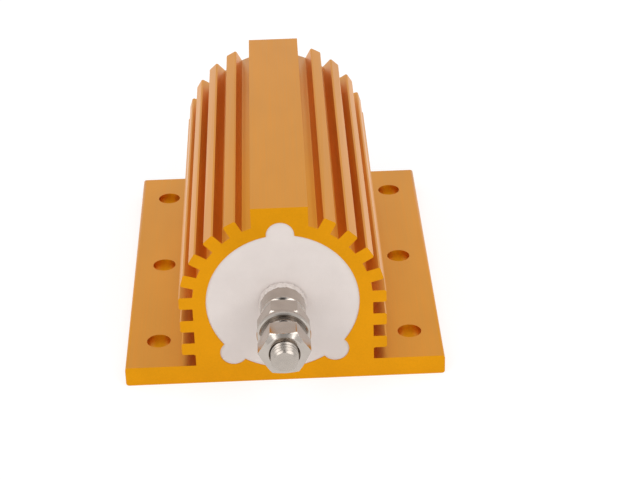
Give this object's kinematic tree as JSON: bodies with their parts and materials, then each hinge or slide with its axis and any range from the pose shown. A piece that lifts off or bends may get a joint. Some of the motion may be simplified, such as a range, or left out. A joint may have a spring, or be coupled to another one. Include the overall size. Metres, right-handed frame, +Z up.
{
  "type": "aluminium housed power resistor",
  "caption": "Wirewound power resistor potted in a finned, gold-anodised aluminium extrusion with a drilled flange base and a threaded stud terminal with nuts and washers at each end.",
  "frame": {"origin": "centre of the flange's flat underside, midway between the two terminals", "axes": "+Y along the bore and both studs, towards the rear terminal; +Z up from the flange to the top boss; +X across the flange"},
  "size_m": [0.0724, 0.1404, 0.0443],
  "materials": {
    "anodised_aluminium": "satin",
    "cement": "matte",
    "core_ceramic": "matte",
    "resistance_alloy": "satin",
    "cap_steel": "satin",
    "nickel_plated_steel": "satin"
  },
  "bodies": {
    "root": {"housing": "anodised_aluminium", "cement_fill": "cement", "ceramic_core": "core_ceramic", "resistance_winding": "resistance_alloy", "front_end_cap": "cap_steel", "front_stud": "nickel_plated_steel", "front_seat_nut": "nickel_plated_steel", "front_lock_nut": "nickel_plated_steel", "front_flat_washer": "nickel_plated_steel", "front_spring_washer": "nickel_plated_steel", "front_clamp_nut": "nickel_plated_steel", "rear_end_cap": "cap_steel", "rear_stud": "nickel_plated_steel", "rear_seat_nut": "nickel_plated_steel", "rear_lock_nut": "nickel_plated_steel", "rear_flat_washer": "nickel_plated_steel", "rear_spring_washer": "nickel_plated_steel", "rear_clamp_nut": "nickel_plated_steel"}
  },
  "joints": []
}
